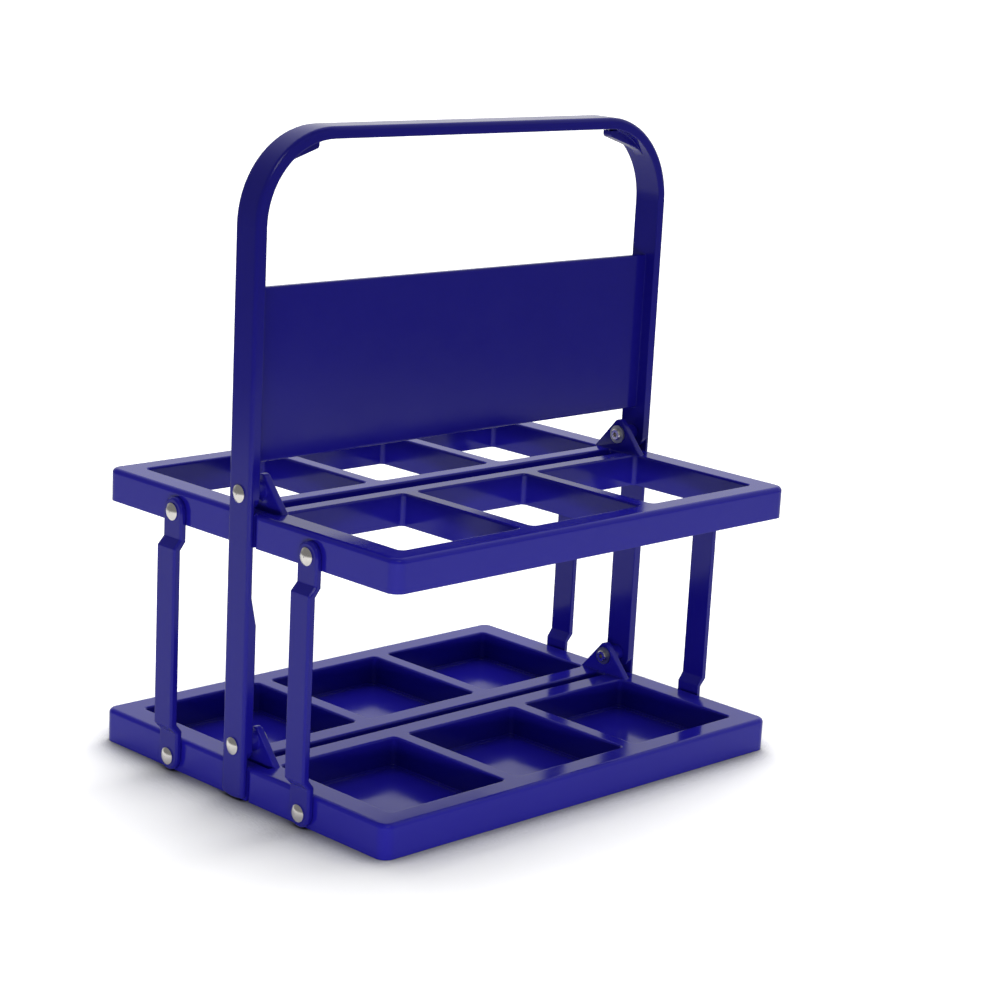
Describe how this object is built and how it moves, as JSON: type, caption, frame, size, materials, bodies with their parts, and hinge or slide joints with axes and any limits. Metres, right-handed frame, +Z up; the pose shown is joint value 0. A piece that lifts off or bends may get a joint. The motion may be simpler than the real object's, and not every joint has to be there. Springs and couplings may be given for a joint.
{
  "type": "folding bottle carrier",
  "caption": "Folding carrier for round bottles: a pocketed tray and an open grid held level by riveted struts and a tall strap handle.",
  "frame": {"origin": "on the floor, under the middle of the tray", "axes": "+X along the length towards the right-hand leg, +Y from the front row to the rear row, +Z up"},
  "size_m": [0.284, 0.215, 0.3215],
  "materials": {
    "tray_plastic": "glossy moulded polypropylene, violet blue",
    "frame_plastic": "glossy moulded polypropylene, violet blue",
    "handle_plastic": "glossy moulded polypropylene, violet blue",
    "strut_plastic": "glossy moulded polypropylene, violet blue",
    "rivet_metal": "polished rivet heads",
    "washer_metal": "plain pressed washers"
  },
  "bodies": {
    "tray": {"bottom_tray": "tray_plastic", "leg_rivet_lower_left": "rivet_metal", "leg_rivet_lower_right": "rivet_metal", "leg_washer_lower_left": "washer_metal", "leg_washer_lower_right": "washer_metal", "strut_rivet_lower_front_left": "rivet_metal", "strut_rivet_lower_front_right": "rivet_metal", "strut_rivet_lower_rear_left": "rivet_metal", "strut_rivet_lower_rear_right": "rivet_metal", "strut_washer_lower_front_left": "washer_metal", "strut_washer_lower_front_right": "washer_metal", "strut_washer_lower_rear_left": "washer_metal", "strut_washer_lower_rear_right": "washer_metal"},
    "handle": {"handle": "handle_plastic"},
    "frame": {"top_frame": "frame_plastic", "leg_rivet_upper_left": "rivet_metal", "leg_rivet_upper_right": "rivet_metal", "leg_washer_upper_left": "washer_metal", "leg_washer_upper_right": "washer_metal", "strut_rivet_upper_front_left": "rivet_metal", "strut_rivet_upper_front_right": "rivet_metal", "strut_rivet_upper_rear_left": "rivet_metal", "strut_rivet_upper_rear_right": "rivet_metal", "strut_washer_upper_front_left": "washer_metal", "strut_washer_upper_front_right": "washer_metal", "strut_washer_upper_rear_left": "washer_metal", "strut_washer_upper_rear_right": "washer_metal"},
    "strut_front_left": {"strut_front_left": "strut_plastic"},
    "strut_front_right": {"strut_front_right": "strut_plastic"},
    "strut_rear_left": {"strut_rear_left": "strut_plastic"},
    "strut_rear_right": {"strut_rear_right": "strut_plastic"}
  },
  "joints": [
    {"name": "handle_fold", "type": "hinge", "parent": "tray", "child": "handle", "pos_m": [0, 0, 0.0266], "axis": [1, 0, 0], "range_deg": [-50, 50]},
    {"name": "frame_level", "type": "hinge", "parent": "handle", "child": "frame", "pos_m": [0, 0, 0.1512], "axis": [1, 0, 0], "range_deg": [-50, 50]},
    {"name": "strut_front_left_swing", "type": "hinge", "parent": "tray", "child": "strut_front_left", "pos_m": [0, -0.0503, 0.0074], "axis": [1, 0, 0], "range_deg": [-50, 50]},
    {"name": "strut_front_right_swing", "type": "hinge", "parent": "tray", "child": "strut_front_right", "pos_m": [0, -0.0503, 0.0074], "axis": [1, 0, 0], "range_deg": [-50, 50]},
    {"name": "strut_rear_left_swing", "type": "hinge", "parent": "tray", "child": "strut_rear_left", "pos_m": [0, 0.0503, 0.0074], "axis": [1, 0, 0], "range_deg": [-50, 50]},
    {"name": "strut_rear_right_swing", "type": "hinge", "parent": "tray", "child": "strut_rear_right", "pos_m": [0, 0.0503, 0.0074], "axis": [1, 0, 0], "range_deg": [-50, 50]}
  ],
  "couplings": [
    {"joint": "frame_level", "follows": "handle_fold", "ratio": -1},
    {"joint": "strut_front_left_swing", "follows": "handle_fold", "ratio": 1},
    {"joint": "strut_front_right_swing", "follows": "handle_fold", "ratio": 1},
    {"joint": "strut_rear_left_swing", "follows": "handle_fold", "ratio": 1},
    {"joint": "strut_rear_right_swing", "follows": "handle_fold", "ratio": 1}
  ]
}
